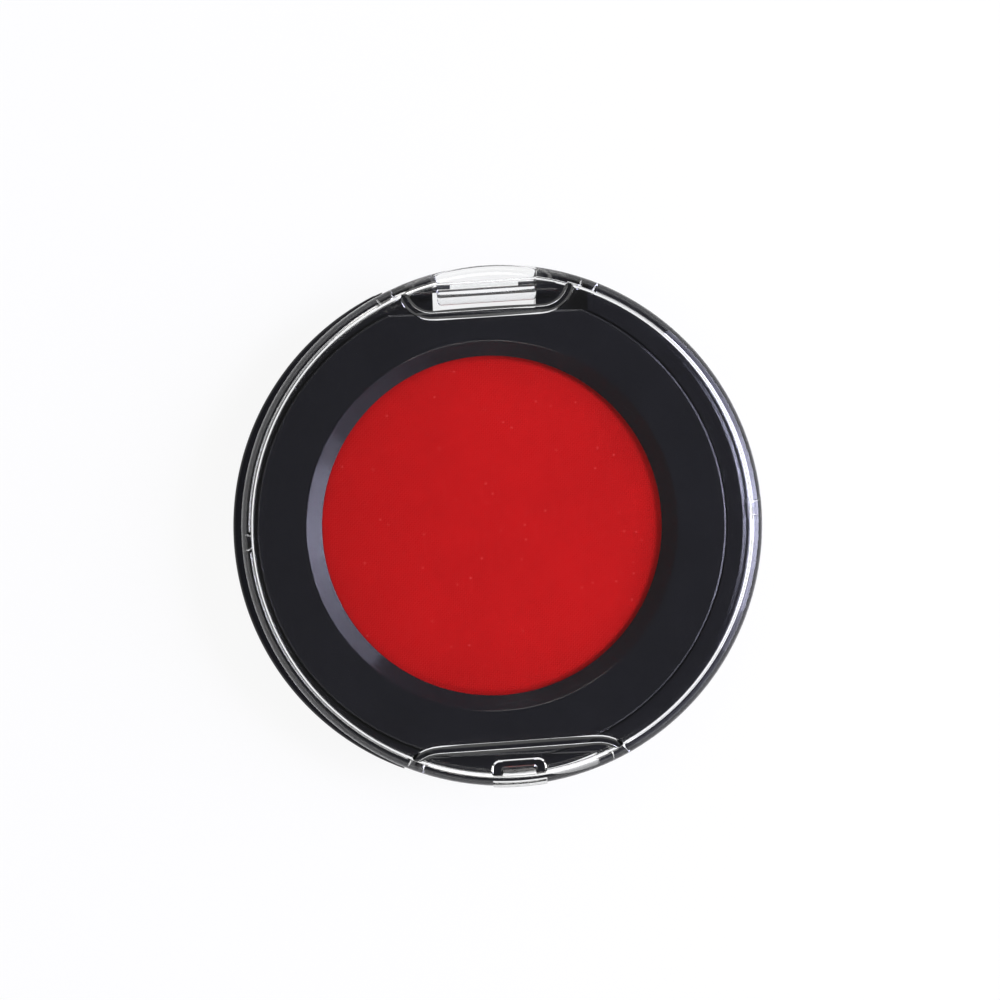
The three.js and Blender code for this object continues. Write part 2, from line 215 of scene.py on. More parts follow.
BASE_WALL = 1.6
SIDE_ROUND = 6.0
EDGE_ROUND = 2.0  # crown of the flange's outer edge
EDGE_FALL = 40.0  # its slope at the side, in degrees
FINE_ROUND = 0.12
FLANGE_RISE = 0.8  # flange above the ledge
DECK_GAP = 0.25
LEDGE_WIDTH = 1.15
WELL = (22.8, 24.2, 6.1)  # inner and outer radius, top
SLOT_HALF = 6.6
SLOT_FRONT = 27.3
SLOT_CORNER = 0.4
EAR_WIDTH = 2.6
EAR_RADIUS = 1.2
EAR_ROOT = 1.6  # below the shelf
SHELF_DROP = 1.6  # below the ledge
SHELF_FALL = (0.15, 0.7)  # beside the ears: where it starts behind the axis, and its drop
BLOCK_WALL = 1.2  # in front of the slot
REAR_FLAT = 1.5  # behind the axis
PIN_SEAT = 0.55  # radius of the bore in the ears
THUMB_HALF = 12.3
THUMB_RADIUS = 31.85
STEP_CHAMFER = 0.2
BEAD = (3.0, 31.65, 5.95, 6.55)  # half width, radius, bottom and top of the latch bead
BEAD_ROOT = 0.4  # from the outside of the tongue
GROOVE_GAP = 0.25
GROOVE_PLAY = 2.4  # sideways, for a lid that sits askew

case_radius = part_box("base_shell")[1].x / MM
ring_low, ring_high = (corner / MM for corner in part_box("deck_ring"))
hinge_y, hinge_z = (place / MM for place in frame["joints"][0]["pos_m"][1:])
beyond = 2 * case_radius
through = (-1.0, beyond)  # heights of a cut right through the case
ledge_top = ring_low.z
flange_top = ledge_top + FLANGE_RISE
shelf_top = ledge_top - SHELF_DROP
rebate = ring_high.x + DECK_GAP
ledge_inner = rebate - LEDGE_WIDTH

# The bowl, turned in one with the ring that the tray stands in
foot = case_radius - SIDE_ROUND
crown_start = case_radius - EDGE_ROUND * math.sin(math.radians(EDGE_FALL))
edge_crown = arc((crown_start, flange_top - EDGE_ROUND), EDGE_ROUND, 90 - EDGE_FALL, 90)
outer_corner = (*edge_crown[0], FINE_ROUND)
outside = [(0, 0)] + arc((foot, SIDE_ROUND), SIDE_ROUND, -90, 0)
outside += eased([outside[-1], outer_corner, edge_crown[1]], closed=False)[1:] + edge_crown[2:]
bowl_round = SIDE_ROUND - BASE_WALL
bowl_start = -math.degrees(math.acos((ledge_inner - foot) / bowl_round))
bowl = arc((foot, SIDE_ROUND), bowl_round, bowl_start, -90)
inside = eased([
    outside[-1],
    (rebate, flange_top, FINE_ROUND),
    (rebate, ledge_top),
    (ledge_inner, ledge_top, FINE_ROUND),
    bowl[0],
], closed=False)
well_inner, well_outer, well_top = WELL
well = [(well_outer, BASE_WALL), (well_outer, well_top), (well_inner, well_top), (well_inner, BASE_WALL)]
base = turned("base_case", outside + inside[1:-1] + bowl + well + [(0, BASE_WALL)])

# The hinge: a solid block behind, with a shelf, two ears and a slot for the knuckle
shelf_half = math.sqrt(case_radius**2 - hinge_y**2)
ear_outer = SLOT_HALF + EAR_WIDTH
rear = hinge_y + REAR_FLAT
solid_base = turned("solid_base", outside + [(0, flange_top)])
hinge_block = block((-shelf_half, shelf_half), (SLOT_FRONT - BLOCK_WALL, beyond), (0, ledge_top))
combine(base, combine(hinge_block, solid_base, "INTERSECT"), "UNION")
combine(base, block((-shelf_half, shelf_half), (ring_high.y, beyond), (shelf_top, beyond)), "DIFFERENCE")
ear = [(hinge_y - EAR_RADIUS, shelf_top - EAR_ROOT), (hinge_y + EAR_RADIUS, shelf_top - EAR_ROOT)]
ear += arc((hinge_y, hinge_z), EAR_RADIUS, 0, 180)
combine(base, extruded("ears", ear, -ear_outer, ear_outer, along_x), "UNION")
combine(base, block((-beyond, beyond), (rear, beyond), through), "DIFFERENCE")
fall_start = hinge_y + SHELF_FALL[0]
fall_end = shelf_top - SHELF_FALL[1]
swing = [(fall_start, shelf_top), (rear, fall_end), (rear, flange_top), (fall_start, flange_top)]
for shelf_side in ((-shelf_half, -ear_outer), (ear_outer, shelf_half)):
    combine(base, extruded("swing", swing, *shelf_side, along_x), "DIFFERENCE")
combine(base, block((-SLOT_HALF, SLOT_HALF), (SLOT_FRONT, beyond), through, SLOT_CORNER), "DIFFERENCE")
pin_seat = arc((hinge_y, hinge_z), PIN_SEAT, 0, 360)[:-1]
combine(base, extruded("pin_seat", pin_seat, -beyond, beyond, along_x), "DIFFERENCE")


def chamfer(piece, edge, top, size, half):
    """Takes off the top of a straight edge along X. size is negative where the edge faces -Y."""
    above = top + abs(size)
    corner = [(edge - 2 * size, above), (edge + size, top - 2 * abs(size)), (edge + size, above)]
    combine(piece, extruded("chamfer", corner, -half, half, along_x), "DIFFERENCE")


def latch_bead(margin, play):
    """Bead inside the latch tongue, or with a margin the groove that it snaps into."""
    half, radius, low, high = BEAD
    face = radius - margin
    root = case_radius - BEAD_ROOT
    bottom = low - margin
    top = high + margin
    bead = turned("bead", [(face, bottom), (root, bottom), (root, top), (face, top)])
    half += margin + play
    return combine(bead, block((-half, half), (-beyond, 0), (0, beyond)), "INTERSECT")


# The thumb recess, the step above it and the groove of the latch
thumb_bite = turned("thumb_bite", [
    (THUMB_RADIUS, through[0]), (beyond, through[0]), (beyond, through[1]), (THUMB_RADIUS, through[1]),
])
thumb_width = block((-THUMB_HALF, THUMB_HALF), (-2 * beyond, 0), (2 * through[0], 2 * through[1]))
combine(base, combine(thumb_bite, thumb_width, "INTERSECT"), "DIFFERENCE")
step_front = ring_low.y - DECK_GAP
combine(base, block((-THUMB_HALF, THUMB_HALF), (-beyond, step_front), (ledge_top, beyond)), "DIFFERENCE")
chamfer(base, step_front, flange_top, -STEP_CHAMFER, THUMB_HALF)
combine(base, latch_bead(GROOVE_GAP, GROOVE_PLAY), "DIFFERENCE")
smooth(base)

BLACK_TONES = ((0.0075, 0.0075, 0.0095, 1), (0.0105, 0.0105, 0.013, 1))
BLACK_ROUGHNESS = (0.10, 0.15)
BLACK_SCRATCHES = (0.69, 0.73)  # crests of a drawn-out noise, from their foot to their full depth
SCRATCH_ROUGHNESS = 0.05  # on top of the rest
GRAIN_DEPTH = 0.3  # as a share of a scratch's
PLASTIC_IOR = 1.5
NOISE_SPAN = (0.3, 0.7)  # where most of a noise lies
NONE_TO_ALL = (0.0, 1.0)


def add_node(tree, kind, inputs=None, **settings):
    """A shader node with its settings, and its inputs set to values or linked to sockets."""
    made = tree.nodes.new(kind)
    for name, value in settings.items():
        setattr(made, name, value)
    for name, value in (inputs or {}).items():
        if isinstance(value, bpy.types.NodeSocket):
            tree.links.new(value, made.inputs[name])
        else:
            made.inputs[name].default_value = value
    return made


def new_material(name):
    """A material with its tree and the object's own coordinates in metres."""
    material = bpy.data.materials.new(name)
    material.use_nodes = True
    tree = material.node_tree
    tree.nodes.clear()
    place = add_node(tree, "ShaderNodeTexCoord").outputs["Object"]
    return material, tree, place


def show(tree, shader):
    """Puts a shader on the surface."""
    add_node(tree, "ShaderNodeOutputMaterial", {"Surface": shader.outputs[0]})


def coat(piece, material):
    """Gives a piece one material all over."""
    piece.data.materials.clear()
    piece.data.materials.append(material)


def maths(tree, operation, *values):
    """A calculation with numbers or sockets."""
    return add_node(tree, "ShaderNodeMath", dict(enumerate(values)), operation=operation).outputs[0]


def ramp(tree, value, span, ends):
    """A value moved from a span to new ends, and held there."""
    return add_node(tree, "ShaderNodeMapRange", {
        "Value": value, "From Min": span[0], "From Max": span[1], "To Min": ends[0], "To Max": ends[1],
    }).outputs["Result"]


def noise(tree, place, waves, detail=2.0, stretch=None):
    """Noise over a piece, as a share from 0 to 1, with so many waves a metre."""
    if stretch:
        place = add_node(tree, "ShaderNodeMapping", {"Vector": place, "Scale": stretch}).outputs[0]
    inputs = {"Vector": place, "Scale": waves, "Detail": detail}
    return add_node(tree, "ShaderNodeTexNoise", inputs).outputs["Fac"]


def blend(tree, share, one, two):
    """A colour between two colours or colour sockets."""
    return add_node(tree, "ShaderNodeMix", {"Factor": share, 6: one, 7: two}, data_type="RGBA").outputs[2]


def relief(tree, height, strength, depth):
    """A normal that follows a height from 0 to 1. The depth is in millimetres."""
    inputs = {"Height": height, "Strength": strength, "Distance": depth * MM}
    return add_node(tree, "ShaderNodeBump", inputs).outputs[0]


def black_plastic():
    """Gloss black moulding: even colour, soft flow marks in the gloss and a few hairline scratches."""
    material, tree, place = new_material("black_plastic")
    flow = noise(tree, place, waves=160)
    grain = noise(tree, place, waves=9000, detail=3)
    hairlines = noise(tree, place, waves=60, detail=1, stretch=(1, 45, 8))
    scratch = ramp(tree, hairlines, BLACK_SCRATCHES, NONE_TO_ALL)
    gloss = ramp(tree, flow, NOISE_SPAN, BLACK_ROUGHNESS)
    height = maths(tree, "MULTIPLY_ADD", grain, GRAIN_DEPTH, scratch)
    show(tree, add_node(tree, "ShaderNodeBsdfPrincipled", {
        "Base Color": blend(tree, flow, *BLACK_TONES),
        "Roughness": maths(tree, "MULTIPLY_ADD", scratch, SCRATCH_ROUGHNESS, gloss),
        "IOR": PLASTIC_IOR,
        "Normal": relief(tree, height, strength=0.05, depth=0.01),
    }))
    return material


gloss_black = black_plastic()
coat(base, gloss_black)
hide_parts("base_shell")
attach(base, "base")

# Adhesive disc and tray: a foam disc sticks the moulded tray to the floor of the base. The deck ring
# hides both, so the solids stay as they are and only take their finish.
FOAM_TONES = ((0.74, 0.69, 0.60, 1), (0.84, 0.81, 0.74, 1))
TRAY_TONE = (0.72, 0.72, 0.69, 1)
TRAY_ROUGHNESS = (0.4, 0.55)
STAIN_TONE = (0.52, 0.06, 0.05, 1)
STAIN_EDGE = (0.58, 0.72)  # span of the pattern over which the tone's share changes
STAIN_SHARE = (0.0, 0.7)


def foam():
    """Closed-cell foam tape with fine pores."""
    material, tree, place = new_material("adhesive_foam")
    pores = noise(tree, place, waves=5200, detail=3)
    show(tree, add_node(tree, "ShaderNodeBsdfPrincipled", {
        "Base Color": blend(tree, pores, *FOAM_TONES),
        "Roughness": 0.85,
        "Normal": relief(tree, pores, strength=0.5, depth=0.08),
    }))
    return material


def tray_plastic():
    """Satin off-white moulding with a light spark grain, stained by ink in places."""
    material, tree, place = new_material("tray_plastic")
    grain = noise(tree, place, waves=7000, detail=2)
    stains = ramp(tree, noise(tree, place, waves=220, detail=4), STAIN_EDGE, STAIN_SHARE)
    show(tree, add_node(tree, "ShaderNodeBsdfPrincipled", {
        "Base Color": blend(tree, stains, TRAY_TONE, STAIN_TONE),
        "Roughness": ramp(tree, grain, NOISE_SPAN, TRAY_ROUGHNESS),
        "Normal": relief(tree, grain, strength=0.2, depth=0.02),
    }))
    return material


for node, finish in (("tray_adhesive", foam()), ("ink_tray", tray_plastic())):
    coat(frame["nodes"][node], finish)

# Ink felt: a block of dense felt soaked with red ink, cut round and pressed into the tray. Its top
# swells into a low crown, which the cloth over it follows.
CROWN_STEPS = 24
CROWN_POWER = 4  # the higher, the flatter the middle
PAD_SIDES = 144
FELT_GAP = 0.1  # under the cloth
FELT_TONES = ((0.20, 0.004, 0.005, 1), (0.36, 0.010, 0.010, 1))
felt_low, felt_high = (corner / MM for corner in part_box("ink_felt"))
tray_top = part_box("ink_tray")[1].z / MM
felt_radius = felt_high.x
crown = felt_high.z + FELT_GAP - tray_top


def crown_rise(radius):
    """Height of the swollen felt above the tray's rim."""
    return crown * (1 - min(1, radius / felt_radius) ** CROWN_POWER)


def felted():
    """Matted fibres, wet with ink."""
    material, tree, place = new_material("inked_felt")
    fibres = noise(tree, place, waves=4200, detail=5)
    show(tree, add_node(tree, "ShaderNodeBsdfPrincipled", {
        "Base Color": blend(tree, fibres, *FELT_TONES),
        "Roughness": 0.8,
        "Sheen Weight": 0.15,
        "Normal": relief(tree, fibres, strength=0.8, depth=0.1),
    }))
    return material


felt_radii = [felt_radius * (1 - k / CROWN_STEPS) for k in range(1, CROWN_STEPS + 1)]
felt_side = [(0, felt_low.z), (felt_radius, felt_low.z), (felt_radius, tray_top - 2 * FELT_GAP)]
felt_crown = [(r, tray_top - FELT_GAP + crown_rise(r)) for r in felt_radii]
felt = turned("ink_pad_felt", felt_side + felt_crown, PAD_SIDES)
smooth(felt)
coat(felt, felted())
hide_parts("ink_felt")
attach(felt, "base")

# Ink cloth: a round of fine plain-woven cotton, drawn tight over the felt and clamped under the deck
# ring. Ink has soaked it almost evenly, and a few pale specks of lint lie on it.
THREAD = 0.24
WANDER = 0.09  # of the yarn to the side
WANDER_WAVES = 700.0
WAVE_RADIANS = 20  # that the wave texture runs through in a unit of its scale
CLOTH_RINGS = 96
CLOTH_TONES = ((0.59, 0.0027, 0.0032, 1), (0.67, 0.0045, 0.0050, 1))
CLOTH_ROUGHNESS = (0.6, 0.72)
GAP_TONE = (0.36, 0.0015, 0.0020, 1)  # between the threads
GAP_EDGE = (0.1, 0.9)
GAP_SHARE = (0.35, 0.0)
SLUB_TONE = (0.66, 0.012, 0.011, 1)  # of thick stretches of yarn
SLUB_EDGE = (0.55, 0.8)
SLUB_SHARE = (0.0, 0.35)
LINT_TONE = (0.70, 0.035, 0.032, 1)
LINT_WAVES = 520.0
LINT_EDGE = (0.05, 0.10)
LINT_SHARE = (1.0, 0.0)
cloth_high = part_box("ink_cloth")[1] / MM
cloth_radius = cloth_high.x
cloth_thickness = cloth_high.z - crown - tray_top


def inked_cloth():
    """Plain weave with uneven yarn, soaked with red ink."""
    material, tree, place = new_material("inked_cloth")
    drift = add_node(tree, "ShaderNodeTexNoise", {"Vector": place, "Scale": WANDER_WAVES, "Detail": 2.0})
    shift = add_node(tree, "ShaderNodeVectorMath", {
        0: drift.outputs["Color"], 1: (WANDER * MM,) * 3,
    }, operation="MULTIPLY").outputs[0]
    yarn = add_node(tree, "ShaderNodeVectorMath", {0: place, 1: shift}, operation="ADD").outputs[0]
    wave = {"Vector": yarn, "Scale": 2 * math.pi / WAVE_RADIANS / (THREAD * MM)}
    warp, weft = (
        add_node(tree, "ShaderNodeTexWave", wave, bands_direction=axis).outputs["Fac"] for axis in "XY"
    )
    check = {"Vector": yarn, "Scale": 1 / (THREAD * MM)}
    over = add_node(tree, "ShaderNodeTexChecker", check).outputs["Fac"]
    weave = add_node(tree, "ShaderNodeMix", {"Factor": over, 2: warp, 3: weft}).outputs[0]
    slub = noise(tree, place, waves=500, detail=3, stretch=(8, 0.7, 1))
    soak = noise(tree, place, waves=90, detail=3)
    specks = add_node(tree, "ShaderNodeTexVoronoi", {"Vector": place, "Scale": LINT_WAVES})
    from_speck = specks.outputs["Distance"]
    ink = blend(tree, ramp(tree, soak, NOISE_SPAN, NONE_TO_ALL), *CLOTH_TONES)
    threads = blend(tree, ramp(tree, weave, GAP_EDGE, GAP_SHARE), ink, GAP_TONE)
    streaked = blend(tree, ramp(tree, slub, SLUB_EDGE, SLUB_SHARE), threads, SLUB_TONE)
    linted = blend(tree, ramp(tree, from_speck, LINT_EDGE, LINT_SHARE), streaked, LINT_TONE)
    show(tree, add_node(tree, "ShaderNodeBsdfPrincipled", {
        "Base Color": linted,
        "Roughness": ramp(tree, soak, NOISE_SPAN, CLOTH_ROUGHNESS),
        "Specular IOR Level": 0.06,
        "Normal": relief(tree, weave, strength=0.5, depth=0.05),
    }))
    return material


cloth_radii = [cloth_radius * k / CLOTH_RINGS for k in range(CLOTH_RINGS + 1)]
cloth_under = [(r, tray_top + crown_rise(r)) for r in cloth_radii]
cloth_face = [(r, height + cloth_thickness) for r, height in reversed(cloth_under)]
cloth = turned("ink_pad_cloth", cloth_under + cloth_face, PAD_SIDES)
smooth(cloth)
coat(cloth, inked_cloth())
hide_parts("ink_cloth")
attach(cloth, "base")

# Deck ring: a gloss black moulding that drops into the rebate and clamps the cloth. Its opening is
# bevelled down to the pad, and its edge is straight at the hinge and at the latch.
PAD_RADIUS = 21.6
BEVEL_WIDTH = 1.9
LIP = 0.55  # height of the upright edge round the pad
LIP_ROUND = 0.1
DECK_CHAMFER = 0.25
DECK_EDGE = (0.07, 0.11)  # in and down, where the chamfer breaks
BEVEL_EDGE = 0.35  # round between the bevel and the top
deck_top = ring_high.z
deck = turned("deck_frame", eased([
    (PAD_RADIUS, ledge_top, LIP_ROUND),
    (ring_high.x, ledge_top),
    (ring_high.x, deck_top - DECK_CHAMFER),
    (ring_high.x - DECK_EDGE[0], deck_top - DECK_EDGE[1]),
    (ring_high.x - DECK_CHAMFER, deck_top),
    (PAD_RADIUS + BEVEL_WIDTH, deck_top, BEVEL_EDGE),
    (PAD_RADIUS, ledge_top + LIP, LIP_ROUND),
]))
combine(deck, block((-beyond, beyond), (ring_low.y, ring_high.y), through), "INTERSECT")
chamfer(deck, ring_low.y, deck_top, -DECK_CHAMFER, beyond)
chamfer(deck, ring_high.y, deck_top, DECK_CHAMFER, beyond)
smooth(deck)
coat(deck, gloss_black)
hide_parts("deck_ring")
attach(deck, "base")

# Hinge pins: two short lengths of steel wire, pressed into the ears from outside. Their inner ends
# carry the lid's knuckle.
PIN_END = 0.1
PIN_SIDES = 32
STEEL_TONES = ((0.06, 0.06, 0.065, 1), (0.13, 0.13, 0.14, 1))
STEEL_ROUGHNESS = (0.25, 0.4)


def pin_steel():
    """Drawn wire with fine lines along it."""
    material, tree, place = new_material("pin_steel")
    lines = noise(tree, place, waves=900, detail=3, stretch=(0.2, 9, 9))
    show(tree, add_node(tree, "ShaderNodeBsdfPrincipled", {
        "Base Color": blend(tree, lines, *STEEL_TONES),
        "Metallic": 1.0,
        "Roughness": ramp(tree, lines, NOISE_SPAN, STEEL_ROUGHNESS),
        "Normal": relief(tree, lines, strength=0.15, depth=0.02),
    }))
    return material


steel = pin_steel()
for side in ("left", "right"):
    node = f"hinge_pin_{side}"
    pin_low, pin_high = (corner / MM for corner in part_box(node))
    pin_radius = (pin_high.y - pin_low.y) / 2
    pin_half = (pin_high.x - pin_low.x) / 2
    pin = turned(f"pin_{side}", eased([
        (0, -pin_half), (pin_radius, -pin_half, PIN_END), (pin_radius, pin_half, PIN_END), (0, pin_half),
    ], closed=False), PIN_SIDES)
    to_hinge = Matrix.Translation(Vector(((pin_low.x + pin_high.x) / 2, hinge_y, hinge_z)) * MM)
    pin.data.transform(to_hinge @ Matrix.Rotation(math.pi / 2, 4, "Y"))
    smooth(pin)
    coat(pin, steel)
    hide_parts(node)
    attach(pin, "base")

# Lid: one clear moulding, a domed plate with an upright wall. Underneath are two curved ribs, the
# hinge knuckle and the frame of the latch, whose tongue snaps over the edge of the base. It sits
# askew, within the play of the pins in the knuckle.
LID_WALL = 1.4
LID_PLATE = 1.3
DOME_RADIUS = 180.0
LID_EDGE_ROUND = 1.85
LID_INNER_ROUND = 0.6
RIM_ROUND = 0.1
SEAT_GAP = 0.25
DOME_STEPS = 40
lid_low, lid_high = (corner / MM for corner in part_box("lid"))
lid_top = lid_high.z
lid_bottom = flange_top + SEAT_GAP
lid_inner = case_radius - LID_WALL
dome_centre = lid_top - DOME_RADIUS


def dome_profile(ball, wall, edge):
    """Half profile from the top of an upright wall over its round edge and a ball surface to the axis."""
    reach = ball - edge
    inset = wall - edge
    centre = (inset, dome_centre + math.sqrt(reach**2 - inset**2))
    start = math.acos(inset / reach)
    turns = [start + (math.pi / 2 - start) * k / DOME_STEPS for k in range(1, DOME_STEPS)]
    ball_points = [(ball * math.cos(t), dome_centre + ball * math.sin(t)) for t in turns]
    return arc(centre, edge, 0, math.degrees(start)) + ball_points + [(0, dome_centre + ball)]


def underside(x, y):
    """Height of the plate's lower face."""
    return dome_centre + math.sqrt((DOME_RADIUS - LID_PLATE) ** 2 - x**2 - y**2)


lid_inside = dome_profile(DOME_RADIUS - LID_PLATE, lid_inner, LID_INNER_ROUND)[::-1]
lid_outside = dome_profile(DOME_RADIUS, case_radius, LID_EDGE_ROUND)
rim = eased([
    lid_inside[-1], (lid_inner, lid_bottom, RIM_ROUND), (case_radius, lid_bottom, RIM_ROUND), lid_outside[0],
], closed=False)
lid = turned("clear_lid", lid_inside + rim[1:-1] + lid_outside)

# The wall stops short of the hinge
BAY_HALF = 10.2
BAY_LIP = 0.45  # what is left of the wall under the plate there
bay_top = underside(0, lid_inner) - BAY_LIP
combine(lid, block((-BAY_HALF, BAY_HALF), (SLOT_FRONT, beyond), (0, bay_top)), "DIFFERENCE")

# Ribs: straight across the lid, with ends that curve out into the wall
FLARE = 0.35  # slope where a feature meets the plate
FLARE_ROOT = 0.08  # how far the slope runs into the plate
RIB_THICKNESS = 0.5
RIB_GAP = 0.35  # above the deck
RIB_SWEEP = 80.0  # of the curved ends, in degrees
HINGE_RIB_SETBACK = 0.17
HINGE_RIB_HALF = 6.8
HINGE_RIB_BEND = 4.1
LATCH_BAY_DEPTH = 3.57
LATCH_RIB_HALF = 9.8
LATCH_RIB_BEND = 5.45
mid_wall = case_radius - LID_WALL / 2
reach_profile = dome_profile(DOME_RADIUS - LID_PLATE / 2, mid_wall, LID_INNER_ROUND)


def inside_lid(tool):
    """What of a feature lies below the middle of the plate and within the middle of the wall."""
    return combine(tool, turned("reach", [(0, 0), (mid_wall, 0)] + reach_profile), "INTERSECT")


def offset(outline, distance):
    """An outline that runs anticlockwise, moved outwards, or inwards where the distance is negative."""
    moved = []
    for i, point in enumerate(outline):
        here = Vector(point)
        before = (here - Vector(outline[i - 1])).normalized()
        after = (Vector(outline[(i + 1) % len(outline)]) - here).normalized()
        aside = Vector((before.y + after.y, -before.x - after.x)) / (1 + before.dot(after))
        moved.append(tuple(here + aside * distance))
    return moved


def hung(outline, low, flare):
    """An upright feature under the plate, flared into it. A hollow has a negative flare."""
    spread = offset(outline, flare + math.copysign(FLARE_ROOT, flare))
    tip = [(x, y, low) for x, y in outline]
    neck = [(x, y, underside(x, y) - abs(flare)) for x, y in outline]
    root = [(*wide, underside(*point) + FLARE_ROOT) for wide, point in zip(spread, outline)]
    top = [(x, y, lid_top) for x, y in spread]
    return lofted("hung", [tip, neck, root, top])


def rib(face, half, bend, outwards):
    """A rib. face is its side towards the pad, half its straight half, bend the radius of that side's
    curves, outwards +1 at the hinge or -1 at the latch."""
    centre = (half, face + bend)
    end = RIB_SWEEP - 90
    right_half = arc(centre, bend, -90, end) + arc(centre, bend - RIB_THICKNESS, end, -90)
    outline = right_half + [(-x, y) for x, y in reversed(right_half)]
    outline = [(x, outwards * y) for x, y in outline][::outwards]
    return inside_lid(hung(outline, deck_top + RIB_GAP, FLARE))


hinge_rib = SLOT_FRONT - HINGE_RIB_SETBACK - RIB_THICKNESS
latch_rib = lid_inner - LATCH_BAY_DEPTH - RIB_THICKNESS
combine(lid, rib(hinge_rib, HINGE_RIB_HALF, HINGE_RIB_BEND, 1), "UNION")
combine(lid, rib(latch_rib, LATCH_RIB_HALF, LATCH_RIB_BEND, -1), "UNION")

# The knuckle hangs in the slot of the base, round in front and square behind, where it is flush with
# the outside of the lid. One bore runs through it for both pins
KNUCKLE_RADIUS = 1.9
KNUCKLE_WEB = 2.45  # front to back, above the round
KNUCKLE_HALF = 6.3
KNUCKLE_ROUND = 0.5  # of its ends
SKIN = 0.02  # inside the lid's own outer face
PIN_RUN = 0.68  # radius of the bore
web_front = hinge_y + KNUCKLE_RADIUS - KNUCKLE_WEB
web_angle = math.degrees(math.acos((web_front - hinge_y) / KNUCKLE_RADIUS))
web_top = underside(0, web_front)
web_root = web_front - FLARE - FLARE_ROOT
knuckle = [(case_radius, lid_top), (web_root, lid_top), (web_root, web_top + FLARE_ROOT)]
knuckle += [(web_front, web_top - FLARE)] + arc((hinge_y, hinge_z), KNUCKLE_RADIUS, web_angle, 270)
knuckle += [(case_radius, hinge_z - KNUCKLE_RADIUS)]
end_round = arc((KNUCKLE_HALF - KNUCKLE_ROUND, -KNUCKLE_ROUND), KNUCKLE_ROUND, 0, 90)
bar_steps = [(-x, inset) for x, inset in end_round] + [(x, inset) for x, inset in reversed(end_round)]
bar = lofted("knuckle", [[(x, *point) for point in offset(knuckle, inset)] for x, inset in bar_steps])
flush = case_radius - SKIN
flush_profile = dome_profile(DOME_RADIUS - LID_PLATE / 2, flush, LID_EDGE_ROUND)
combine(bar, turned("flush", [(0, 0), (flush, 0)] + flush_profile), "INTERSECT")
combine(lid, bar, "UNION")
bore = arc((hinge_y, hinge_z), PIN_RUN, 0, 360)[:-1]
combine(lid, extruded("bore", bore, -ear_outer, ear_outer, along_x), "DIFFERENCE")

# The latch: a hollow frame behind the wall, and a squared thumb tab with the tongue and its bead below
FRAME_HALF = 3.47
FRAME_DEPTH = 1.92
FRAME_BACK = 0.62
FRAME_SIDE = 1.19
FRAME_GAP = 1.3
FRAME_CORNER = 0.9
FRAME_FLARE = 0.2
HOLLOW_CORNER = 0.45
TONGUE_HALF = 3.4
TONGUE_GAP = 0.35
TONGUE_ROUND = 0.25
TAB_DROP = 0.15  # top of the thumb tab under the dome


def rectangle(half, low, high, corner):
    """Outline of a rounded rectangle across the middle of the case."""
    return eased([(-half, low, corner), (half, low, corner), (half, high, corner), (-half, high, corner)])


frame_y = lid_inner - FRAME_DEPTH
frame_outline = rectangle(FRAME_HALF - FRAME_FLARE, -beyond, -frame_y, FRAME_CORNER)
latch_frame = hung(frame_outline, ledge_top + FRAME_GAP, FRAME_FLARE)
frame_hollow = rectangle(FRAME_HALF - FRAME_SIDE, -lid_inner, -frame_y - FRAME_BACK, HOLLOW_CORNER)
combine(latch_frame, hung(frame_hollow, 0, -FRAME_FLARE), "DIFFERENCE")
combine(lid, inside_lid(latch_frame), "UNION")
tongue_inner = THUMB_RADIUS + TONGUE_GAP
tongue_bottom = lid_low.z
tongue_top = underside(0, lid_inner) + LID_PLATE - TAB_DROP
tongue = turned("tongue", eased([
    (tongue_inner, tongue_bottom, RIM_ROUND),
    (case_radius, tongue_bottom, TONGUE_ROUND),
    (case_radius, tongue_top, TONGUE_ROUND),
    (tongue_inner, tongue_top),
]))
combine(tongue, block((-TONGUE_HALF, TONGUE_HALF), (-beyond, 0), (0, beyond)), "INTERSECT")
combine(lid, tongue, "UNION")
combine(lid, latch_bead(0, 0), "UNION")

# Ejector pin marks on the rim
MARK_ANGLES = (23.5, 90.0, 156.5)  # from the hinge, to both sides
MARK_RADIUS = 1.43
MARK_INSET = 0.3
MARK_DEPTH = 0.4
MARK_EDGE = 0.2
for degrees in (side * angle for angle in MARK_ANGLES for side in (-1, 1)):
    turn = math.radians(degrees)
    centre = Vector((math.sin(turn), math.cos(turn))) * (case_radius - MARK_INSET)
    circle = arc(centre, MARK_RADIUS, 0, 360)[:-1]
    levels = ((0, -MARK_DEPTH), (0, MARK_DEPTH - MARK_EDGE), (-MARK_EDGE, MARK_DEPTH))
    mark = [[(x, y, lid_bottom + rise) for x, y in offset(circle, inset)] for inset, rise in levels]
    combine(lid, lofted("mark", mark), "DIFFERENCE")
smooth(lid)

# How it sits: turned a little about the middle of the hinge, and slid along the pins
LID_ASKEW = math.radians(1.9)
LID_SLIDE = 0.25
pivot = Vector((0, hinge_y, 0)) * MM
sideways = Vector((LID_SLIDE, 0, 0)) * MM
lid.data.transform(
    Matrix.Translation(pivot + sideways) @ Matrix.Rotation(LID_ASKEW, 4, "Z") @ Matrix.Translation(-pivot)
)

CLEAR_TONE = (0.985, 0.99, 0.992, 1)
CLEAR_ROUGHNESS = (0.0, 0.02)
CLEAR_SCRATCHES = (0.72, 0.75)
THROUGH_TONE = (0.955, 0.96, 0.965, 1)  # of lamp light that has passed


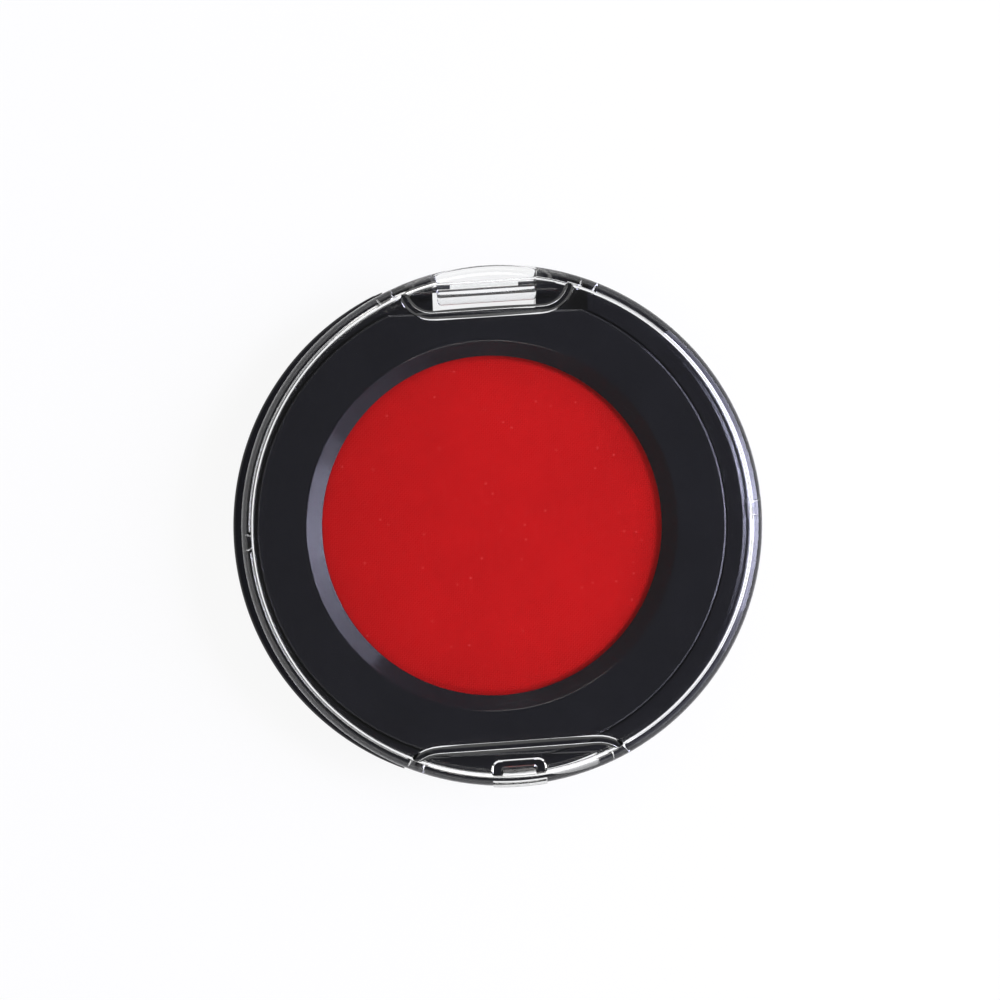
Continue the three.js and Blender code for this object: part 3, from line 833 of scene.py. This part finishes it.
def clear_plastic():
    """Water-clear moulding, polished, with a few hairlines. Lamp light passes straight through it."""
    material, tree, place = new_material("clear_plastic")
    flow = noise(tree, place, waves=220)
    hairlines = noise(tree, place, waves=55, detail=1, stretch=(6, 40, 6))
    scratch = ramp(tree, hairlines, CLEAR_SCRATCHES, NONE_TO_ALL)
    clear = add_node(tree, "ShaderNodeBsdfPrincipled", {
        "Base Color": CLEAR_TONE,
        "Roughness": ramp(tree, flow, NOISE_SPAN, CLEAR_ROUGHNESS),
        "IOR": PLASTIC_IOR,
        "Transmission Weight": 1.0,
        "Normal": relief(tree, scratch, strength=0.03, depth=0.01),
    })
    path = add_node(tree, "ShaderNodeLightPath").outputs
    straight = maths(tree, "MAXIMUM", path["Is Shadow Ray"], path["Is Diffuse Ray"])
    passed = add_node(tree, "ShaderNodeBsdfTransparent", {"Color": THROUGH_TONE})
    show(tree, add_node(tree, "ShaderNodeMixShader", {
        0: straight, 1: clear.outputs[0], 2: passed.outputs[0],
    }))
    return material


coat(lid, clear_plastic())
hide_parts("lid")
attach(lid, "lid")

# Studio: a round sheet of white paper under the case, a tall window-like light on the right, two soft
# fills in front and behind, and surroundings that are bright at the horizon and dim overhead.
# Lamps are placed in metres.
FLOOR_RADIUS = 440.0
FLOOR_THICKNESS = 10.0
FLOOR_DROP = 0.02  # below the case
FLOOR_TONE = (0.93, 0.93, 0.93, 1)
FLOOR_GLOW = 0.9  # share of the floor that shows as plain white, near the case
FLOOR_FADE = (0.10, 0.40)  # from the case, over which that share becomes all of it
WHITE = (1, 1, 1, 1)


def floor_paper():
    """Paper that keeps the shadow of the case and shows as plain white farther off."""
    material, tree, place = new_material("floor")
    path = add_node(tree, "ShaderNodeLightPath").outputs
    seen = maths(tree, "MAXIMUM", path["Is Camera Ray"], path["Is Glossy Ray"])
    seen_through = maths(tree, "MAXIMUM", seen, path["Is Transmission Ray"])
    from_case = add_node(tree, "ShaderNodeVectorMath", {0: place}, operation="LENGTH").outputs["Value"]
    plain = ramp(tree, from_case, FLOOR_FADE, (FLOOR_GLOW, 1.0))
    paper = add_node(tree, "ShaderNodeBsdfDiffuse", {"Color": FLOOR_TONE})
    white = add_node(tree, "ShaderNodeEmission", {"Color": WHITE, "Strength": 1.0})
    show(tree, add_node(tree, "ShaderNodeMixShader", {
        0: maths(tree, "MULTIPLY", seen_through, plain), 1: paper.outputs[0], 2: white.outputs[0],
    }))
    return material


floor_bottom = -FLOOR_DROP - FLOOR_THICKNESS
floor = turned("floor", [
    (0, floor_bottom), (FLOOR_RADIUS, floor_bottom), (FLOOR_RADIUS, -FLOOR_DROP), (0, -FLOOR_DROP),
])
coat(floor, floor_paper())

WINDOW_DISTANCE = 0.467
WINDOW_HEIGHTS = (0.025, 0.378)
WINDOW_BEARINGS = (-70, 46)  # degrees from +X towards +Y
# Each pane's share of the radiance, from the front to the rear
WINDOW_SHARES = (0.04, 0.08, 0.10, 0.13, 0.33, 0.76, 0.88, 0.96, 0.74, 0.56, 0.42, 0.36)
WINDOW_RADIANCE = 8.1
TRANSOM_TOP = 0.606
TRANSOM_BEARINGS = (-21, 38)
TRANSOM_SHARES = (0.12, 0.38, 0.74, 1.0, 1.0, 0.74, 0.38, 0.12)
TRANSOM_RADIANCE = 15.7
WINDOW_COLOUR = (0.74, 0.74, 1.0)
FILL_PLACES = {"front_fill": (0.05, -0.60, 0.66), "rear_fill": (-0.15, 0.60, 0.66)}
FILL_WIDTH = 0.5
FILL_HEIGHT = 0.35
FILL_RADIANCE = 3.2
FILL_COLOUR = (1.0, 0.98, 0.95)


def softbox(name, place, width, height, radiance, colour, upright=False):
    """A rectangular light that faces the case, not seen by the camera."""
    lamp = bpy.data.lights.new(name, "AREA")
    lamp.shape = "RECTANGLE"
    lamp.size = width
    lamp.size_y = height
    lamp.energy = radiance * math.pi * width * height
    lamp.color = colour
    holder = bpy.data.objects.new(name, lamp)
    holder.location = place
    outwards = Vector((*place[:2], 0 if upright else place[2]))
    holder.rotation_mode = "QUATERNION"
    holder.rotation_quaternion = outwards.to_track_quat("Z", "Y")
    holder.visible_camera = False
    scene.collection.objects.link(holder)


def window_row(name, shares, bearings, heights, radiance):
    """A row of upright panes on a circle round the case, each with its share of the radiance."""
    start, end = (math.radians(bearing) for bearing in bearings)
    turn = (end - start) / len(shares)
    width = 2 * WINDOW_DISTANCE * math.tan(turn / 2)
    height = heights[1] - heights[0]
    middle = sum(heights) / 2
    for k, share in enumerate(shares):
        bearing = start + turn * (k + 0.5)
        place = (WINDOW_DISTANCE * math.cos(bearing), WINDOW_DISTANCE * math.sin(bearing), middle)
        softbox(f"{name}_{k}", place, width, height, radiance * share, WINDOW_COLOUR, upright=True)


transom_heights = (WINDOW_HEIGHTS[1], TRANSOM_TOP)
window_row("window", WINDOW_SHARES, WINDOW_BEARINGS, WINDOW_HEIGHTS, WINDOW_RADIANCE)
window_row("transom", TRANSOM_SHARES, TRANSOM_BEARINGS, transom_heights, TRANSOM_RADIANCE)
for name, place in FILL_PLACES.items():
    softbox(name, place, FILL_WIDTH, FILL_HEIGHT, FILL_RADIANCE, FILL_COLOUR)

HORIZON = (0.05, 1.7)  # rise of a direction, and the light from there
OVERHEAD = (0.42, 0.08)
world = bpy.data.worlds.new("surroundings")
scene.world = world
world.use_nodes = True
sky = world.node_tree
sky.nodes.clear()
direction = add_node(sky, "ShaderNodeTexCoord").outputs["Generated"]
rise = add_node(sky, "ShaderNodeSeparateXYZ", {0: direction}).outputs["Z"]
level = ramp(sky, rise, *zip(HORIZON, OVERHEAD))
background = add_node(sky, "ShaderNodeBackground", {"Color": WHITE, "Strength": level})
add_node(sky, "ShaderNodeOutputWorld", {"Surface": background.outputs[0]})
